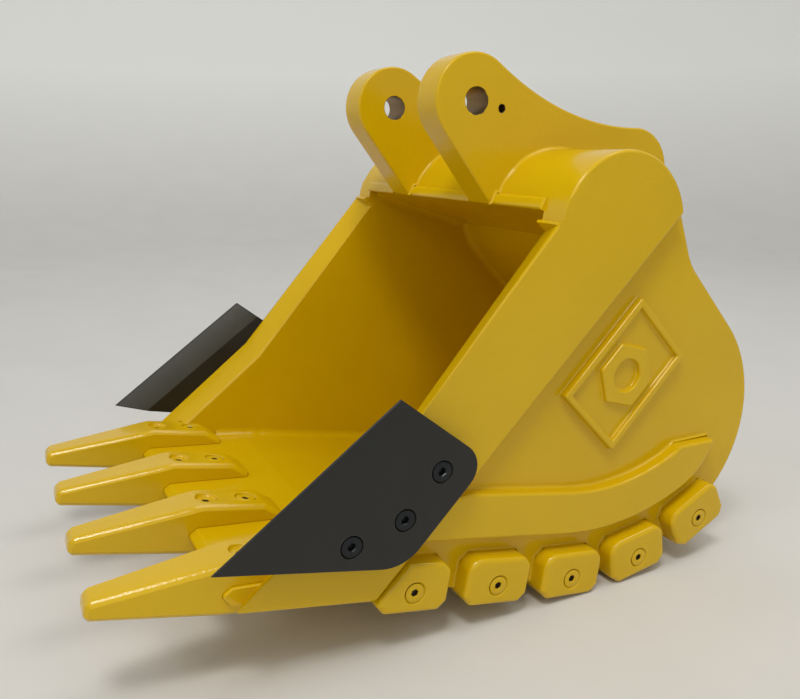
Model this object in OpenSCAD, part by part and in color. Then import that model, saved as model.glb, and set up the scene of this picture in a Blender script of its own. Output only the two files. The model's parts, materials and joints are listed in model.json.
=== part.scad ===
// Scale excavator bucket: a welded plate shell with two hitch ears, four bolt-on
// teeth, bolt-on side cutters, side wear plates and a row of heel shrouds.
// The origin is the centre of the front pin bore.  X runs across the bucket,
// the teeth point to -Y and +Z is up.

/* [Shell] */
// Clear width between the side plates
inner_w = 144; // [130:1:160]
// Thickness of each side plate
side_t = 6; // [5:0.5:7]
// Thickness of the plate that makes the floor, heel and back
wrap_t = 10; // [8:0.5:11]
// Thickness of the plates of the hollow top beam
beam_t = 5; // [4:0.5:6]
// Outer radius of the rounded top beam
beam_r = 29.5; // [28.5:0.5:30]
// Outer radius of the heel
heel_r = 53; // [51:0.5:54]
// Outer radius of the long curve under the floor
belly_r = 125; // [115:1:135]
// Slope of the floor, lip and teeth
floor_slope = 11; // [10:0.5:11.5]
// Length of the lip plate, from its nose to the weld with the floor
lip_len = 50; // [46:1:54]

/* [Side bars and cutters] */
// Thickness of each side bar
bar_t = 6; // [5:0.5:7]
// How far the bar's front face falls back from its outer to its inner edge
bevel_drop = 5.2; // [3:0.2:6]
// Thickness of each bolt-on side cutter
cutter_t = 7; // [6:0.5:8]
// Width of the ground bevel on the inside of a cutter
grind_w = 10.5; // [8:0.5:12]
// Thickness of the curved side wear plates
wear_t = 5.5; // [4:0.5:6]
// Width of the curved side wear plates
wear_w = 17.5; // [15:0.5:19]

/* [Hitch ears] */
// Thickness of each ear
ear_t = 15; // [12:0.5:17]
// Clear gap between the ears
ear_gap = 52; // [44:1:60]
// Diameter of the two pin bores
pin_d = 10; // [6:0.5:12]
// Diameter of the keeper screw hole beside the front bore
keeper_d = 3; // [2:0.5:4]
// Outer radius of the ear round the front bore
head_r = 17.5; // [16.5:0.5:18]
// Outer radius of the ear round the rear bore
tail_r = 18; // [17.5:0.5:18.5]

/* [Teeth] */
// Distance between the centres of neighbouring teeth
tooth_pitch = 45.2; // [44:0.2:46]
// Width of a tooth over the lip
tooth_w = 17.6; // [15:0.2:19]
// Width of a tooth at its point
tooth_tip_w = 11.4; // [9:0.2:13]
// Reach of a tooth in front of the lip
tooth_reach = 40.8; // [36:0.2:44]
// Length of the flap that is screwed to the lip
flap_len = 36.5; // [34:0.5:38]

/* [Heel shrouds] */
// Distance between neighbouring shrouds along the floor
shroud_pitch = 36; // [35:0.5:37]
// Length of a shroud
shroud_len = 28.6; // [26:0.2:31]
// Height of a shroud on the side plate
shroud_h = 18.6; // [17:0.2:20]
// Thickness of a shroud outside the side plate
shroud_t = 8; // [7:0.5:9]
// Thickness of a shroud under the floor
shroud_foot = 4.5; // [4:0.5:5]
// Reach of a shroud under the floor, in from the outer face
shroud_reach = 34; // [28:1:40]

/* [Screws] */
// Shank diameter of the countersunk screws
screw_d = 4; // [3:0.5:4.5]
// Head diameter of the countersunk screws
screw_head_d = 8; // [7:0.25:8.5]
// Hexagon socket, across its flats
hex_af = 2.5; // [2:0.25:3]
// Clearance round the screws
screw_gap = 0.05; // [0.05:0.05:0.15]

/* [Badges] */
// Length of the raised badge plate
badge_l = 49.5; // [44:0.5:54]
// Width of the raised badge plate
badge_w = 36; // [32:0.5:38]
// Height of the badge plate's rim above the side plate
badge_t = 3.5; // [2:0.5:4]

/* [Hidden] */

yellow = "#e8b417";
black = "#2b2c2c";
arc_steps = 24;
half_w = inner_w / 2;
plate_out = half_w + side_t;
bar_out = plate_out + bar_t;
cutter_out = bar_out + cutter_t;

// Points of the side view, each [Y, Z], measured from the front pin bore.
lip_foot = [-113.4, -159];
kink = [-57, -115];
mouth = [7, -42];
roof_front = [7.4, -38.3];
bar_rear = [67, -41];
beam_c = [38, -47];
back_top = [71, -40];
heel_c = [67, -126.5];
tail_c = [81, -27];
ear_foot = [7, -38.2];
tail_foot = [84, -67];
keeper = [11.5, -2.6];
badge_c = [46.3, -102.9];
back_slope = 47;
rise_slope = 69;
back_blend_r = 25;
roof_fall = 18;
roof_lean = 1;

// Straight run of the floor and the long curve that joins it to the heel.
floor_dir = dir(-floor_slope);
floor_up = dir(90 - floor_slope);
heel_along = (heel_c - lip_foot) * floor_dir;
heel_above = (heel_c - lip_foot) * floor_up;
belly_run = heel_along - sqrt(pow(belly_r - heel_r, 2) - pow(belly_r - heel_above, 2));
belly_c = lip_foot + belly_run * floor_dir + belly_r * floor_up;
belly_end = angle_of(heel_c - belly_c);

// Side bar: its two front edges and its straight back edge.
upper_slope = angle_of(mouth - kink);
lower_slope = angle_of(kink - lip_foot);
bar_slope = 44.3;
bar_foot = meet(bar_rear, bar_slope, lip_foot, -floor_slope);

// Lip and teeth live in a frame that lies on the underside of the lip, with its
// Y axis running back along the floor and its origin under the lip's nose.
lip_nose = 2.2;
nose = lip_foot + lip_nose * dir(180 - floor_slope);
nose_h = 6;
nose_chamfer = 2.5;
flap_top = 14.6;
flap_start = 3.5;
taper_end = -1;
flap_end = 28;
flap_lift = 1.5;
tip_h = 6.6;
jaw_t = 4.5;
jaw_len = 9.5;
tooth_screw_s = [7, 22.5];
tooth_screw_l = 12;
head_land = 0.4;
socket_depth = 2;
lip_rise = (wrap_t - nose_h) / lip_len;
wing_len = 15;

// Side cutter outline and its screws.
cutter_tip = [-121.6, -139.9];
cutter_top = [-58, -94.3];
cutter_back = [-24, -121.5];
cutter_low = [-57, -154.2];
cutter_holes = [[-76, -141.5], [-56.5, -136.5], [-42.5, -122]];
cutter_screw_l = 16;
cutter_edge = 1;

// Wear plate bounds and shroud places along the floor, measured from the lip's foot.
wear_inset = 21;
wear_end_z = -137;
shroud_first = 64;
shroud_screw_l = 20;
shroud_screw_in = 3.2;
shroud_corner = 3.4;

ear_in = ear_gap / 2;
saddle_z = tail_c.y + tail_r;
saddle_r = (pow(tail_c.x, 2) + pow(saddle_z, 2) - pow(head_r, 2)) / (2 * (head_r - saddle_z));
saddle_c = [tail_c.x, saddle_z + saddle_r];

function dir(a) = [cos(a), sin(a)];
function angle_of(v) = atan2(v.y, v.x);
function unit(v) = v / norm(v);
// Where the line through p at angle a crosses the line through q at angle b
function meet(p, a, q, b) =
    let (d = dir(a), e = dir(b), w = q - p)
    p + (w.x * e.y - w.y * e.x) / (d.x * e.y - d.y * e.x) * d;
function arc(c, r, a0, a1, n = arc_steps) =
    [for (i = [0:n]) c + r * dir(a0 + (a1 - a0) * i / n)];
// Corner b of the path a, b, c replaced by an arc of radius r
function bend(a, b, c, r, n = 8) =
    let (u = unit(a - b), v = unit(c - b), half = acos(u * v) / 2,
         o = b + unit(u + v) * r / sin(half),
         a0 = angle_of(b + u * r / tan(half) - o),
         turn = angle_of(b + v * r / tan(half) - o) - a0,
         sweep = turn > 180 ? turn - 360 : turn < -180 ? turn + 360 : turn)
    arc(o, r, a0, a0 + sweep, n);
// Tangent point, at the front, of the line from p to the circle about c
function touch(p, c, r, side) =
    c + r * dir(angle_of(p - c) + side * acos(r / norm(p - c)));

// Outline of the floor, heel and back, moved inwards by t
function back_corner(t) =
    meet(heel_c + (heel_r - t) * dir(90 - back_slope), 180 - back_slope,
         back_top - t * dir(90 - rise_slope), 180 - rise_slope);
function shell_path(t, start = 0) = concat(
    [lip_foot + start * floor_dir + t * floor_up],
    arc(belly_c, belly_r - t, -90 - floor_slope, belly_end),
    arc(heel_c, heel_r - t, belly_end, 90 - back_slope),
    bend(heel_c + (heel_r - t) * dir(90 - back_slope), back_corner(t),
         back_top - t * dir(90 - rise_slope), back_blend_r + t),
    [back_top - t * dir(90 - rise_slope)]);
// Place and heading of a point a distance s along the floor, moved inwards by t
function on_floor(s, t) =
    let (past = s - belly_run,
         belly_a = past / belly_r * 180 / PI,
         belly_full = belly_end + 90 + floor_slope,
         heel_a = (past - belly_full * belly_r * PI / 180) / heel_r * 180 / PI)
    past < 0 ? [lip_foot + s * floor_dir + t * floor_up, -floor_slope]
    : belly_a < belly_full
    ? [belly_c + (belly_r - t) * dir(-90 - floor_slope + belly_a), -floor_slope + belly_a]
    : [heel_c + (heel_r - t) * dir(belly_end + heel_a), belly_end + 90 + heel_a];

// Extrudes a side view outline from x0 to x1
module slab(x0, x1) {
    translate([x0, 0, 0]) rotate([90, 0, 90]) linear_extrude(x1 - x0) children();
}
module at(p, x = 0) {
    translate([x, p.x, p.y]) children();
}
module mirrored(side) {
    if (side > 0) children();
    else mirror([1, 0, 0]) children();
}
module lip_frame() {
    at(nose) rotate([-floor_slope, 0, 0]) children();
}
module cross_hole(p, d, x0, x1) {
    at(p, x0) rotate([0, 90, 0]) cylinder(d = d, h = x1 - x0, $fn = 48);
}
// Countersunk socket screw: the head's flat top lies at the origin and faces +Z
module screw(l) {
    cone = (screw_head_d - screw_d) / 2;
    difference() {
        union() {
            translate([0, 0, -head_land]) cylinder(d = screw_head_d, h = head_land, $fn = 48);
            translate([0, 0, -head_land - cone])
                cylinder(d1 = screw_d, d2 = screw_head_d, h = cone, $fn = 48);
            translate([0, 0, -l]) cylinder(d = screw_d, h = l - head_land - cone, $fn = 48);
        }
        translate([0, 0, -socket_depth]) cylinder(d = hex_af / cos(30), h = socket_depth + 1, $fn = 6);
    }
}
// The space that a countersunk screw needs
module screw_hole(l) {
    cone = (screw_head_d - screw_d) / 2;
    translate([0, 0, -head_land]) cylinder(d = screw_head_d + 2 * screw_gap, h = 2, $fn = 48);
    translate([0, 0, -head_land - cone])
        cylinder(d1 = screw_d + 2 * screw_gap, d2 = screw_head_d + 2 * screw_gap, h = cone, $fn = 48);
    translate([0, 0, -l - screw_gap])
        cylinder(d = screw_d + 2 * screw_gap, h = l - cone, $fn = 48);
}
module at_tooth_screws() {
    for (s = tooth_screw_s) lip_frame() translate([0, s, flap_top]) children();
}
module at_cutter_screws() {
    for (p = cutter_holes) at(p, cutter_out) rotate([0, 90, 0]) children();
}
module at_shroud_screw(i) {
    at(on_floor(shroud_first + (i - 1) * shroud_pitch, shroud_screw_in)[0], plate_out + shroud_t)
        rotate([0, 90, 0]) children();
}

module beam_disc(r) {
    translate(beam_c) circle(r = r, $fn = 96);
}
module side_outline() {
    polygon(concat(shell_path(0), [mouth, kink]));
    beam_disc(beam_r);
}
module bar_outline() {
    polygon([lip_foot, bar_foot, bar_rear, mouth, kink]);
    intersection() {
        beam_disc(beam_r);
        polygon([bar_foot, bar_rear, bar_rear + [0, 60], kink + [0, 120], kink]);
    }
}
// Everything in front of the bevelled front faces of the side plate and bar
module front_bevel() {
    upper_len = norm(mouth - kink) - 1;
    tilt = atan(bevel_drop / (bar_out - half_w));
    intersection() {
        at(kink, bar_out) rotate([upper_slope, 0, 0]) rotate([0, -tilt, 0])
            translate([-60, -120, 0]) cube([120, 120 + upper_len, 90]);
        at(kink, bar_out) rotate([lower_slope, 0, 0]) rotate([0, -tilt, 0])
            translate([-60, -120, 0]) cube([120, 240, 120]);
    }
}
module side_plate(side) {
    color(yellow) mirrored(side) difference() {
        slab(half_w, plate_out) side_outline();
        front_bevel();
        lip_frame() slab(0, tooth_x(1) + tooth_w / 2) tooth_profile();
        wing(0, plate_out + 1);
        at_cutter_screws() screw_hole(cutter_screw_l);
        for (i = [1:5]) at_shroud_screw(i) screw_hole(shroud_screw_l);
    }
}
module side_bar(side) {
    color(yellow) mirrored(side) difference() {
        slab(plate_out, bar_out) bar_outline();
        front_bevel();
        at_cutter_screws() screw_hole(cutter_screw_l);
    }
}
module wrapper() {
    inner = shell_path(wrap_t, lip_len - lip_nose);
    color(yellow) difference() {
        slab(-half_w, half_w) difference() {
            polygon(concat(shell_path(0, lip_len - lip_nose), [for (i = [len(inner) - 1:-1:0]) inner[i]]));
            beam_disc(beam_r);
        }
        for (side = [-1, 1], i = [1:5]) mirrored(side) at_shroud_screw(i) screw_hole(shroud_screw_l);
    }
}
module lip_outline() {
    polygon([[lip_len, 0], [nose_chamfer, 0], [0, nose_chamfer], [0, nose_h - nose_chamfer],
        [nose_chamfer, nose_h], [lip_len, wrap_t]]);
}
// Front end of the lip, which runs on under the side plates
module wing(x0, x1) {
    lip_frame() slab(x0, x1) intersection() {
        lip_outline();
        square([wing_len, wrap_t]);
    }
}
module lip() {
    color(yellow) difference() {
        union() {
            lip_frame() slab(-half_w, half_w) lip_outline();
            wing(-plate_out, plate_out);
        }
        for (i = [1:4]) translate([tooth_x(i), 0, 0]) at_tooth_screws() screw_hole(tooth_screw_l);
    }
}
// Side view of the plate that closes the beam; its front face leans back
module roof_outline() {
    translate(roof_front) rotate(-roof_fall)
        polygon([[0, 0], [90, 0], [90, beam_t], [roof_lean, beam_t]]);
}
// Everything above the top face of that plate
module above_roof() {
    translate(roof_front) rotate(-roof_fall) translate([-20, beam_t]) square([110, 90]);
}
// Bent plate round the front, top and rear of the beam
module top_beam_cover() {
    color(yellow) slab(-half_w, half_w) intersection() {
        difference() {
            beam_disc(beam_r);
            beam_disc(beam_r - beam_t);
        }
        above_roof();
    }
}
// Plate that closes the beam from below and roofs the bucket
module top_beam_floor() {
    color(yellow) slab(-half_w, half_w) intersection() {
        roof_outline();
        polygon(concat(shell_path(wrap_t), [roof_front + [0, 10], roof_front + [0, -20], kink]));
    }
}
module ear_outline() {
    front = angle_of(touch(ear_foot, [0, 0], head_r, -1));
    crest = angle_of(saddle_c);
    tail = angle_of(touch(tail_foot, tail_c, tail_r, 1) - tail_c);
    polygon(concat([ear_foot], arc([0, 0], head_r, front + 360, crest),
        arc(saddle_c, saddle_r, crest + 180, 270), arc(tail_c, tail_r, 90, tail),
        [tail_foot, beam_c]));
}
module ear(side) {
    color(yellow) mirrored(side) difference() {
        slab(ear_in, ear_in + ear_t) difference() {
            ear_outline();
            polygon(concat(shell_path(0), [beam_c]));
            beam_disc(beam_r);
            roof_outline();
        }
        cross_hole([0, 0], pin_d, 0, plate_out);
        cross_hole(tail_c, pin_d, 0, plate_out);
        if (side > 0) cross_hole(keeper, keeper_d, 0, plate_out);
    }
}

function tooth_x(i) = (2.5 - i) * tooth_pitch;
module tooth_profile() {
    flap_rise = lip_rise * flap_len;
    polygon([[-tooth_reach, -jaw_t], [jaw_len, -jaw_t], [jaw_len, 0], [nose_chamfer, 0],
        [0, nose_chamfer], [0, nose_h - nose_chamfer], [nose_chamfer, nose_h],
        [flap_len, nose_h + flap_rise], [flap_len, nose_h + flap_rise + flap_lift],
        [flap_end, flap_top], [flap_start, flap_top], [-tooth_reach, tip_h - jaw_t]]);
}
module tooth(i) {
    color(yellow) translate([tooth_x(i), 0, 0]) difference() {
        lip_frame() intersection() {
            slab(-tooth_w / 2, tooth_w / 2) tooth_profile();
            translate([0, 0, -20]) linear_extrude(50) polygon([[-tooth_tip_w / 2, -tooth_reach],
                [tooth_tip_w / 2, -tooth_reach], [tooth_w / 2, taper_end], [tooth_w / 2, flap_len],
                [-tooth_w / 2, flap_len], [-tooth_w / 2, taper_end]]);
        }
        at_tooth_screws() screw_hole(tooth_screw_l);
    }
}
module tooth_screws() {
    color(yellow) for (i = [1:4]) translate([tooth_x(i), 0, 0]) at_tooth_screws() screw(tooth_screw_l);
}

module cutter_outline() {
    polygon(concat([cutter_tip], [cutter_top],
        bend(cutter_top, cutter_back, cutter_low, 9),
        bend(cutter_back, cutter_low, cutter_tip, 16)));
}
module side_cutter(side) {
    slope = angle_of(cutter_top - cutter_tip);
    grind = atan((cutter_t - cutter_edge) / grind_w);
    color(black) mirrored(side) difference() {
        slab(bar_out, cutter_out) cutter_outline();
        at(cutter_tip, cutter_out - cutter_edge) rotate([slope, 0, 0]) rotate([0, -90 + grind, 0])
            translate([-40, -20, 0]) cube([80, 140, 30]);
        at_cutter_screws() screw_hole(cutter_screw_l);
    }
}
module cutter_screws(side) {
    color(black) mirrored(side) at_cutter_screws() screw(cutter_screw_l);
}

// Curved plate that follows the floor and heel and ends square with the ground
module side_wear_plate(side) {
    color(yellow) mirrored(side) slab(plate_out, plate_out + wear_t) intersection() {
        difference() {
            polygon(concat(shell_path(wear_inset), [back_top]));
            polygon(concat(shell_path(wear_inset + wear_w), [back_top]));
        }
        polygon([bar_foot, bar_foot + [200, 0], [heel_c.x + heel_r, wear_end_z],
            meet(bar_foot, bar_slope, [0, wear_end_z], 0)]);
    }
}

// Block that wraps the lower corner of the shell, screwed into the floor's edge
module heel_shroud(side, i) {
    place = on_floor(shroud_first + (i - 1) * shroud_pitch, 0);
    low = -shroud_foot;
    high = shroud_h - shroud_foot;
    half = shroud_len / 2;
    c = shroud_corner;
    color(yellow) mirrored(side) difference() {
        at(place[0]) rotate([place[1], 0, 0])
            slab(plate_out + shroud_t - shroud_reach, plate_out + shroud_t)
            polygon([[-half + c, low], [half - c, low], [half, low + c], [half, high - c],
                [half - c, high], [-half + c, high], [-half, high - c], [-half, low + c]]);
        slab(0, plate_out) polygon(concat(shell_path(0), [mouth, kink]));
        if (i == 1) slab(0, bar_out + shroud_t) polygon([lip_foot + [0, -30], bar_foot + [-30, -30],
            bar_foot, bar_rear, mouth, kink]);
        at_shroud_screw(i) screw_hole(shroud_screw_l);
    }
}
module shroud_screws(side) {
    color(yellow) mirrored(side) for (i = [1:5]) at_shroud_screw(i) screw(shroud_screw_l);
}

// Raised plate with a rim and a plain hexagon nut emblem
module badge(side) {
    rim = 2.8;
    field = 1.3;
    nut_r = 13.5;
    nut_bore_r = 6.5;
    color(yellow) mirrored(side) at(badge_c, plate_out) rotate([bar_slope, 0, 0]) rotate([90, 0, 90]) {
        difference() {
            translate([-badge_l / 2, -badge_w / 2, 0]) cube([badge_l, badge_w, badge_t]);
            translate([rim - badge_l / 2, rim - badge_w / 2, field])
                cube([badge_l - 2 * rim, badge_w - 2 * rim, badge_t]);
        }
        difference() {
            cylinder(r = nut_r, h = badge_t, $fn = 6);
            cylinder(r = nut_bore_r, h = badge_t + 1, $fn = 48);
        }
    }
}

side_plate(1);  // side_plate_right
side_plate(-1);  // side_plate_left
side_bar(1);  // side_bar_right
side_bar(-1);  // side_bar_left
wrapper();
lip();
top_beam_cover();
top_beam_floor();
ear(1);  // ear_right
ear(-1);  // ear_left
tooth(1);  // tooth_1
tooth(2);  // tooth_2
tooth(3);  // tooth_3
tooth(4);  // tooth_4
tooth_screws();
side_cutter(1);  // side_cutter_right
side_cutter(-1);  // side_cutter_left
cutter_screws(1);  // cutter_screws_right
cutter_screws(-1);  // cutter_screws_left
side_wear_plate(1);  // side_wear_plate_right
side_wear_plate(-1);  // side_wear_plate_left
heel_shroud(1, 1);  // heel_shroud_right_1
heel_shroud(1, 2);  // heel_shroud_right_2
heel_shroud(1, 3);  // heel_shroud_right_3
heel_shroud(1, 4);  // heel_shroud_right_4
heel_shroud(1, 5);  // heel_shroud_right_5
heel_shroud(-1, 1);  // heel_shroud_left_1
heel_shroud(-1, 2);  // heel_shroud_left_2
heel_shroud(-1, 3);  // heel_shroud_left_3
heel_shroud(-1, 4);  // heel_shroud_left_4
heel_shroud(-1, 5);  // heel_shroud_left_5
shroud_screws(1);  // shroud_screws_right
shroud_screws(-1);  // shroud_screws_left
badge(1);  // badge_right
badge(-1);  // badge_left
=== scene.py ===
# %% [markdown]
# # A painted scale excavator bucket
#
# This lesson dresses the solid model of a desk-top excavator bucket: steel plates
# welded into a shell and sprayed with yellow enamel, with bolt-on teeth and heel
# shrouds under the same paint, and black coated side cutters.
# The solid model gives every place and size. Blender adds what a solid leaves out:
# rounded edges, the soft fillets of thick paint, screw heads and the finishes.

import json
import math

import bmesh
import bpy
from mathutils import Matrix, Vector
from mathutils.bvhtree import BVHTree


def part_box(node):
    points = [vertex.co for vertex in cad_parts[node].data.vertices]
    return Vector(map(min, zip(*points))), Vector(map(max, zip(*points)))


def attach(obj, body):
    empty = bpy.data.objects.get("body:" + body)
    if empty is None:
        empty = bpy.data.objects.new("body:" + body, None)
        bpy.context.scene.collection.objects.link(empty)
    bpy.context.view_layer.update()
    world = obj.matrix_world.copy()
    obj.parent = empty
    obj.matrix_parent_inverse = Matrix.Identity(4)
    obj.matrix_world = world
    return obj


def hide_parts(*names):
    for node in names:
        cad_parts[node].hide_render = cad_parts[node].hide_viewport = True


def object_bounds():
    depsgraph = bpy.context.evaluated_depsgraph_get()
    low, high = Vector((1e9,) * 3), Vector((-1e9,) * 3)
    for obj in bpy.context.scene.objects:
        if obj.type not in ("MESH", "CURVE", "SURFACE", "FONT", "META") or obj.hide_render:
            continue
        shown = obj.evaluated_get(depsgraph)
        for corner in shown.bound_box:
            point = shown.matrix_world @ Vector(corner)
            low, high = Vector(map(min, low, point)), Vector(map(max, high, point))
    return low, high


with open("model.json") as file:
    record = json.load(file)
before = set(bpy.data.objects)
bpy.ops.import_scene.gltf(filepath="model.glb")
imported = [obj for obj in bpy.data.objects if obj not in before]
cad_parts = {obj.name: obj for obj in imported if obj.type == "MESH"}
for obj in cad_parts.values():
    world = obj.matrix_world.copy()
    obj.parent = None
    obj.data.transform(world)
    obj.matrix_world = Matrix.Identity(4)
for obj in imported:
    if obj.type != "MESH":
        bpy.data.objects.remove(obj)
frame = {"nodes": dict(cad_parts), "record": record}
cad_low, cad_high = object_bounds()
print("CAD box", [round(v, 4) for v in (*cad_low, *cad_high)])

# %% [markdown]
# ## Sizes that the pieces share
#
# Blender works in metres and the bucket was drawn in millimetres, so one factor
# turns the one into the other. The planes where plates meet are read from the
# solids, and the pin bores come from the part's own record.

# %% Shared sizes
MM = 0.001
PLATE_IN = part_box("side_plate_right")[0].x
PLATE_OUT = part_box("side_plate_right")[1].x
SHROUD_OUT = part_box("heel_shroud_right_3")[1].x
BORES = [
    (Vector(m["pos_m"]), m["dims"]["r_mm"] * MM) for m in frame["record"]["mounts"]
]
TOUCHING = 0.06 * MM  # closer than this, two solids share a face
ONE_POINT = 0.002 * MM  # corners closer than this are the same corner
IN_PLANE = 0.01 * MM  # a corner this close to a plane lies in it
SHARP = math.radians(30)  # a corner sharper than this is an edge and not a curve


def in_scene(name, data):
    """A new object with that mesh, light or camera, standing in the scene."""
    thing = bpy.data.objects.new(name, data)
    bpy.context.scene.collection.objects.link(thing)
    return thing


print("plate planes", PLATE_IN, PLATE_OUT, "shroud face", SHROUD_OUT, "bores", len(BORES))

# %% [markdown]
# ## Camera
#
# The bucket is looked at from close by, from the front right and a little above,
# which is why its near side looks so much larger than its far side. The eye's
# place is measured from the front pin bore, which is the frame's origin.

# %% Camera
VIEW_AZIMUTH = math.radians(62.34)
VIEW_ELEVATION = math.radians(14.38)
EYE = Vector((302.7, -169.6, -16.5)) * MM
SENSOR_MM, LENS_MM = 36, 35.7
NEAREST = 10 * MM  # nothing closer to the eye than this is drawn

camera = in_scene("camera", bpy.data.cameras.new("camera"))
camera.data.sensor_width = SENSOR_MM
camera.data.lens = LENS_MM
camera.data.clip_start = NEAREST
camera.location = EYE
camera.rotation_euler = (math.pi / 2 - VIEW_ELEVATION, 0, VIEW_AZIMUTH)
bpy.context.scene.camera = camera
bpy.context.scene.view_settings.view_transform = "Standard"
print("camera", [round(v, 3) for v in camera.location])

# %% [markdown]
# ## One helper for nodes
#
# Materials and Geometry Nodes are both trees of nodes. One small function adds a
# node with its settings, and either sets each input or links it to a socket.
# Colours are written as everyday hex values and turned to the linear numbers
# that Blender works in.


# %% Node and colour helpers
def add(tree, kind, settings=None, inputs=None):
    node = tree.nodes.new(kind)
    for key, value in (settings or {}).items():
        setattr(node, key, value)
    for key, value in (inputs or {}).items():
        if isinstance(value, bpy.types.NodeSocket):
            tree.links.new(value, node.inputs[key])
        else:
            node.inputs[key].default_value = value
    return node


def linear(hex_colour):
    parts = [int(hex_colour[i : i + 2], 16) / 255 for i in (1, 3, 5)]
    return [c / 12.92 if c <= 0.04045 else ((c + 0.055) / 1.055) ** 2.4 for c in parts] + [1]


def per_metre(size_mm):
    """The scale of a pattern whose spots are that many millimetres apart."""
    return 1 / (size_mm * MM)


def new_material(name):
    material = bpy.data.materials.new(name)
    material.use_nodes = True
    tree = material.node_tree
    surface = tree.nodes["Principled BSDF"]
    place = add(tree, "ShaderNodeTexCoord").outputs["Object"]
    return material, tree, surface, place


print("linear of mid grey", [round(v, 3) for v in linear("#808080")])

# %% [markdown]
# ## Yellow enamel
#
# The shell, teeth and shrouds are sprayed with a thick two-pack enamel, which
# dries glossy with a fine orange peel: dimples a millimetre or two across that
# break up each reflection. The film also pulls slightly over longer distances and
# its colour is a touch deeper where it lies thicker.
# Two layers of noise give the peel and the pull as bump, and a slow third noise
# shifts the colour and the gloss a little.

# %% Yellow enamel
PEEL_MM = 1.2  # spacing of the orange peel's dimples
PULL_MM = 9  # spacing of the longer waves
CLOUD_MM = 45  # size of the patches where the coat is thicker
PEEL_DEPTH = 0.12 * MM
PULL_DEPTH = 0.5 * MM
ENAMEL_TONES = ("#CEA702", "#DAB205")
ENAMEL_ROUGHNESS = (0.11, 0.22)
ENAMEL_IOR = 1.43


def enamel(name):
    material, tree, surface, place = new_material(name)
    cloud = add(
        tree,
        "ShaderNodeTexNoise",
        {},
        {"Vector": place, "Scale": per_metre(CLOUD_MM), "Detail": 3.0},
    )
    coat = add(
        tree,
        "ShaderNodeMix",
        {"data_type": "RGBA"},
        {0: cloud.outputs["Fac"], 6: linear(ENAMEL_TONES[0]), 7: linear(ENAMEL_TONES[1])},
    )
    gloss = add(
        tree,
        "ShaderNodeMapRange",
        {},
        {
            "Value": cloud.outputs["Fac"],
            "From Min": 0.1,
            "From Max": 0.9,
            "To Min": ENAMEL_ROUGHNESS[0],
            "To Max": ENAMEL_ROUGHNESS[1],
        },
    )
    peel = add(
        tree,
        "ShaderNodeTexNoise",
        {},
        {"Vector": place, "Scale": per_metre(PEEL_MM), "Detail": 1.0},
    )
    pull = add(
        tree,
        "ShaderNodeTexNoise",
        {},
        {"Vector": place, "Scale": per_metre(PULL_MM), "Detail": 1.0},
    )
    waves = add(
        tree,
        "ShaderNodeBump",
        {},
        {"Height": pull.outputs["Fac"], "Strength": 0.12, "Distance": PULL_DEPTH},
    )
    dimples = add(
        tree,
        "ShaderNodeBump",
        {},
        {
            "Height": peel.outputs["Fac"],
            "Strength": 0.55,
            "Distance": PEEL_DEPTH,
            "Normal": waves.outputs["Normal"],
        },
    )
    tree.links.new(coat.outputs[2], surface.inputs["Base Color"])
    tree.links.new(gloss.outputs["Result"], surface.inputs["Roughness"])
    tree.links.new(dimples.outputs["Normal"], surface.inputs["Normal"])
    surface.inputs["IOR"].default_value = ENAMEL_IOR
    return material, tree, surface, place, coat


yellow_enamel = enamel("sprayed_yellow_enamel")[0]
print("made", yellow_enamel.name)

# %% [markdown]
# ## Enamel chipped round the bores
#
# A pin pushed in and out knocks flakes of paint off the rim of each bore. The
# ears wear the same enamel, with dark chips wherever a coarse noise is high
# and the distance from a bore's centre line is close to its radius.

# %% Chipped enamel for the hitch ears
CHIP_MM = 1.3  # size of a flake
CHIP_REACH = 0.6 * MM  # how far from a bore's edge the paint is chipped
CHIP_RIM = (0.33, 0.37)  # the noise has to be higher than this for a flake to be gone
UNDERCOAT = "#4A3A24"


def chipped_enamel(name, holes):
    material, tree, surface, place, coat = enamel(name)
    worn = None
    for centre, radius in holes:
        from_axis = add(
            tree,
            "ShaderNodeVectorMath",
            {"operation": "MULTIPLY_ADD"},
            {0: place, 1: (0, 1, 1), 2: (0, -centre.y, -centre.z)},
        )
        distance = add(
            tree, "ShaderNodeVectorMath", {"operation": "LENGTH"}, {0: from_axis.outputs["Vector"]}
        )
        near = add(
            tree,
            "ShaderNodeMapRange",
            {},
            {
                "Value": distance.outputs["Value"],
                "From Min": radius + CHIP_REACH,
                "From Max": radius,
                "To Min": 0.0,
                "To Max": 1.0,
            },
        )
        if worn is not None:
            near = add(
                tree,
                "ShaderNodeMath",
                {"operation": "MAXIMUM"},
                {0: worn.outputs[0], 1: near.outputs[0]},
            )
        worn = near
    flakes = add(
        tree,
        "ShaderNodeTexNoise",
        {},
        {"Vector": place, "Scale": per_metre(CHIP_MM), "Detail": 3.0},
    )
    both = add(
        tree,
        "ShaderNodeMath",
        {"operation": "MULTIPLY"},
        {0: flakes.outputs["Fac"], 1: worn.outputs[0]},
    )
    chip = add(
        tree,
        "ShaderNodeMapRange",
        {},
        {
            "Value": both.outputs["Value"],
            "From Min": CHIP_RIM[0],
            "From Max": CHIP_RIM[1],
            "To Min": 0.0,
            "To Max": 1.0,
        },
    )
    shown = add(
        tree,
        "ShaderNodeMix",
        {"data_type": "RGBA"},
        {0: chip.outputs["Result"], 6: coat.outputs[2], 7: linear(UNDERCOAT)},
    )
    tree.links.new(shown.outputs[2], surface.inputs["Base Color"])
    return material


chipped_yellow = {
    "right": chipped_enamel("yellow_enamel_chipped_at_three_holes", BORES),
    "left": chipped_enamel("yellow_enamel_chipped_at_two_bores", BORES[:2]),
}
print("made", [material.name for material in chipped_yellow.values()])

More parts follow.
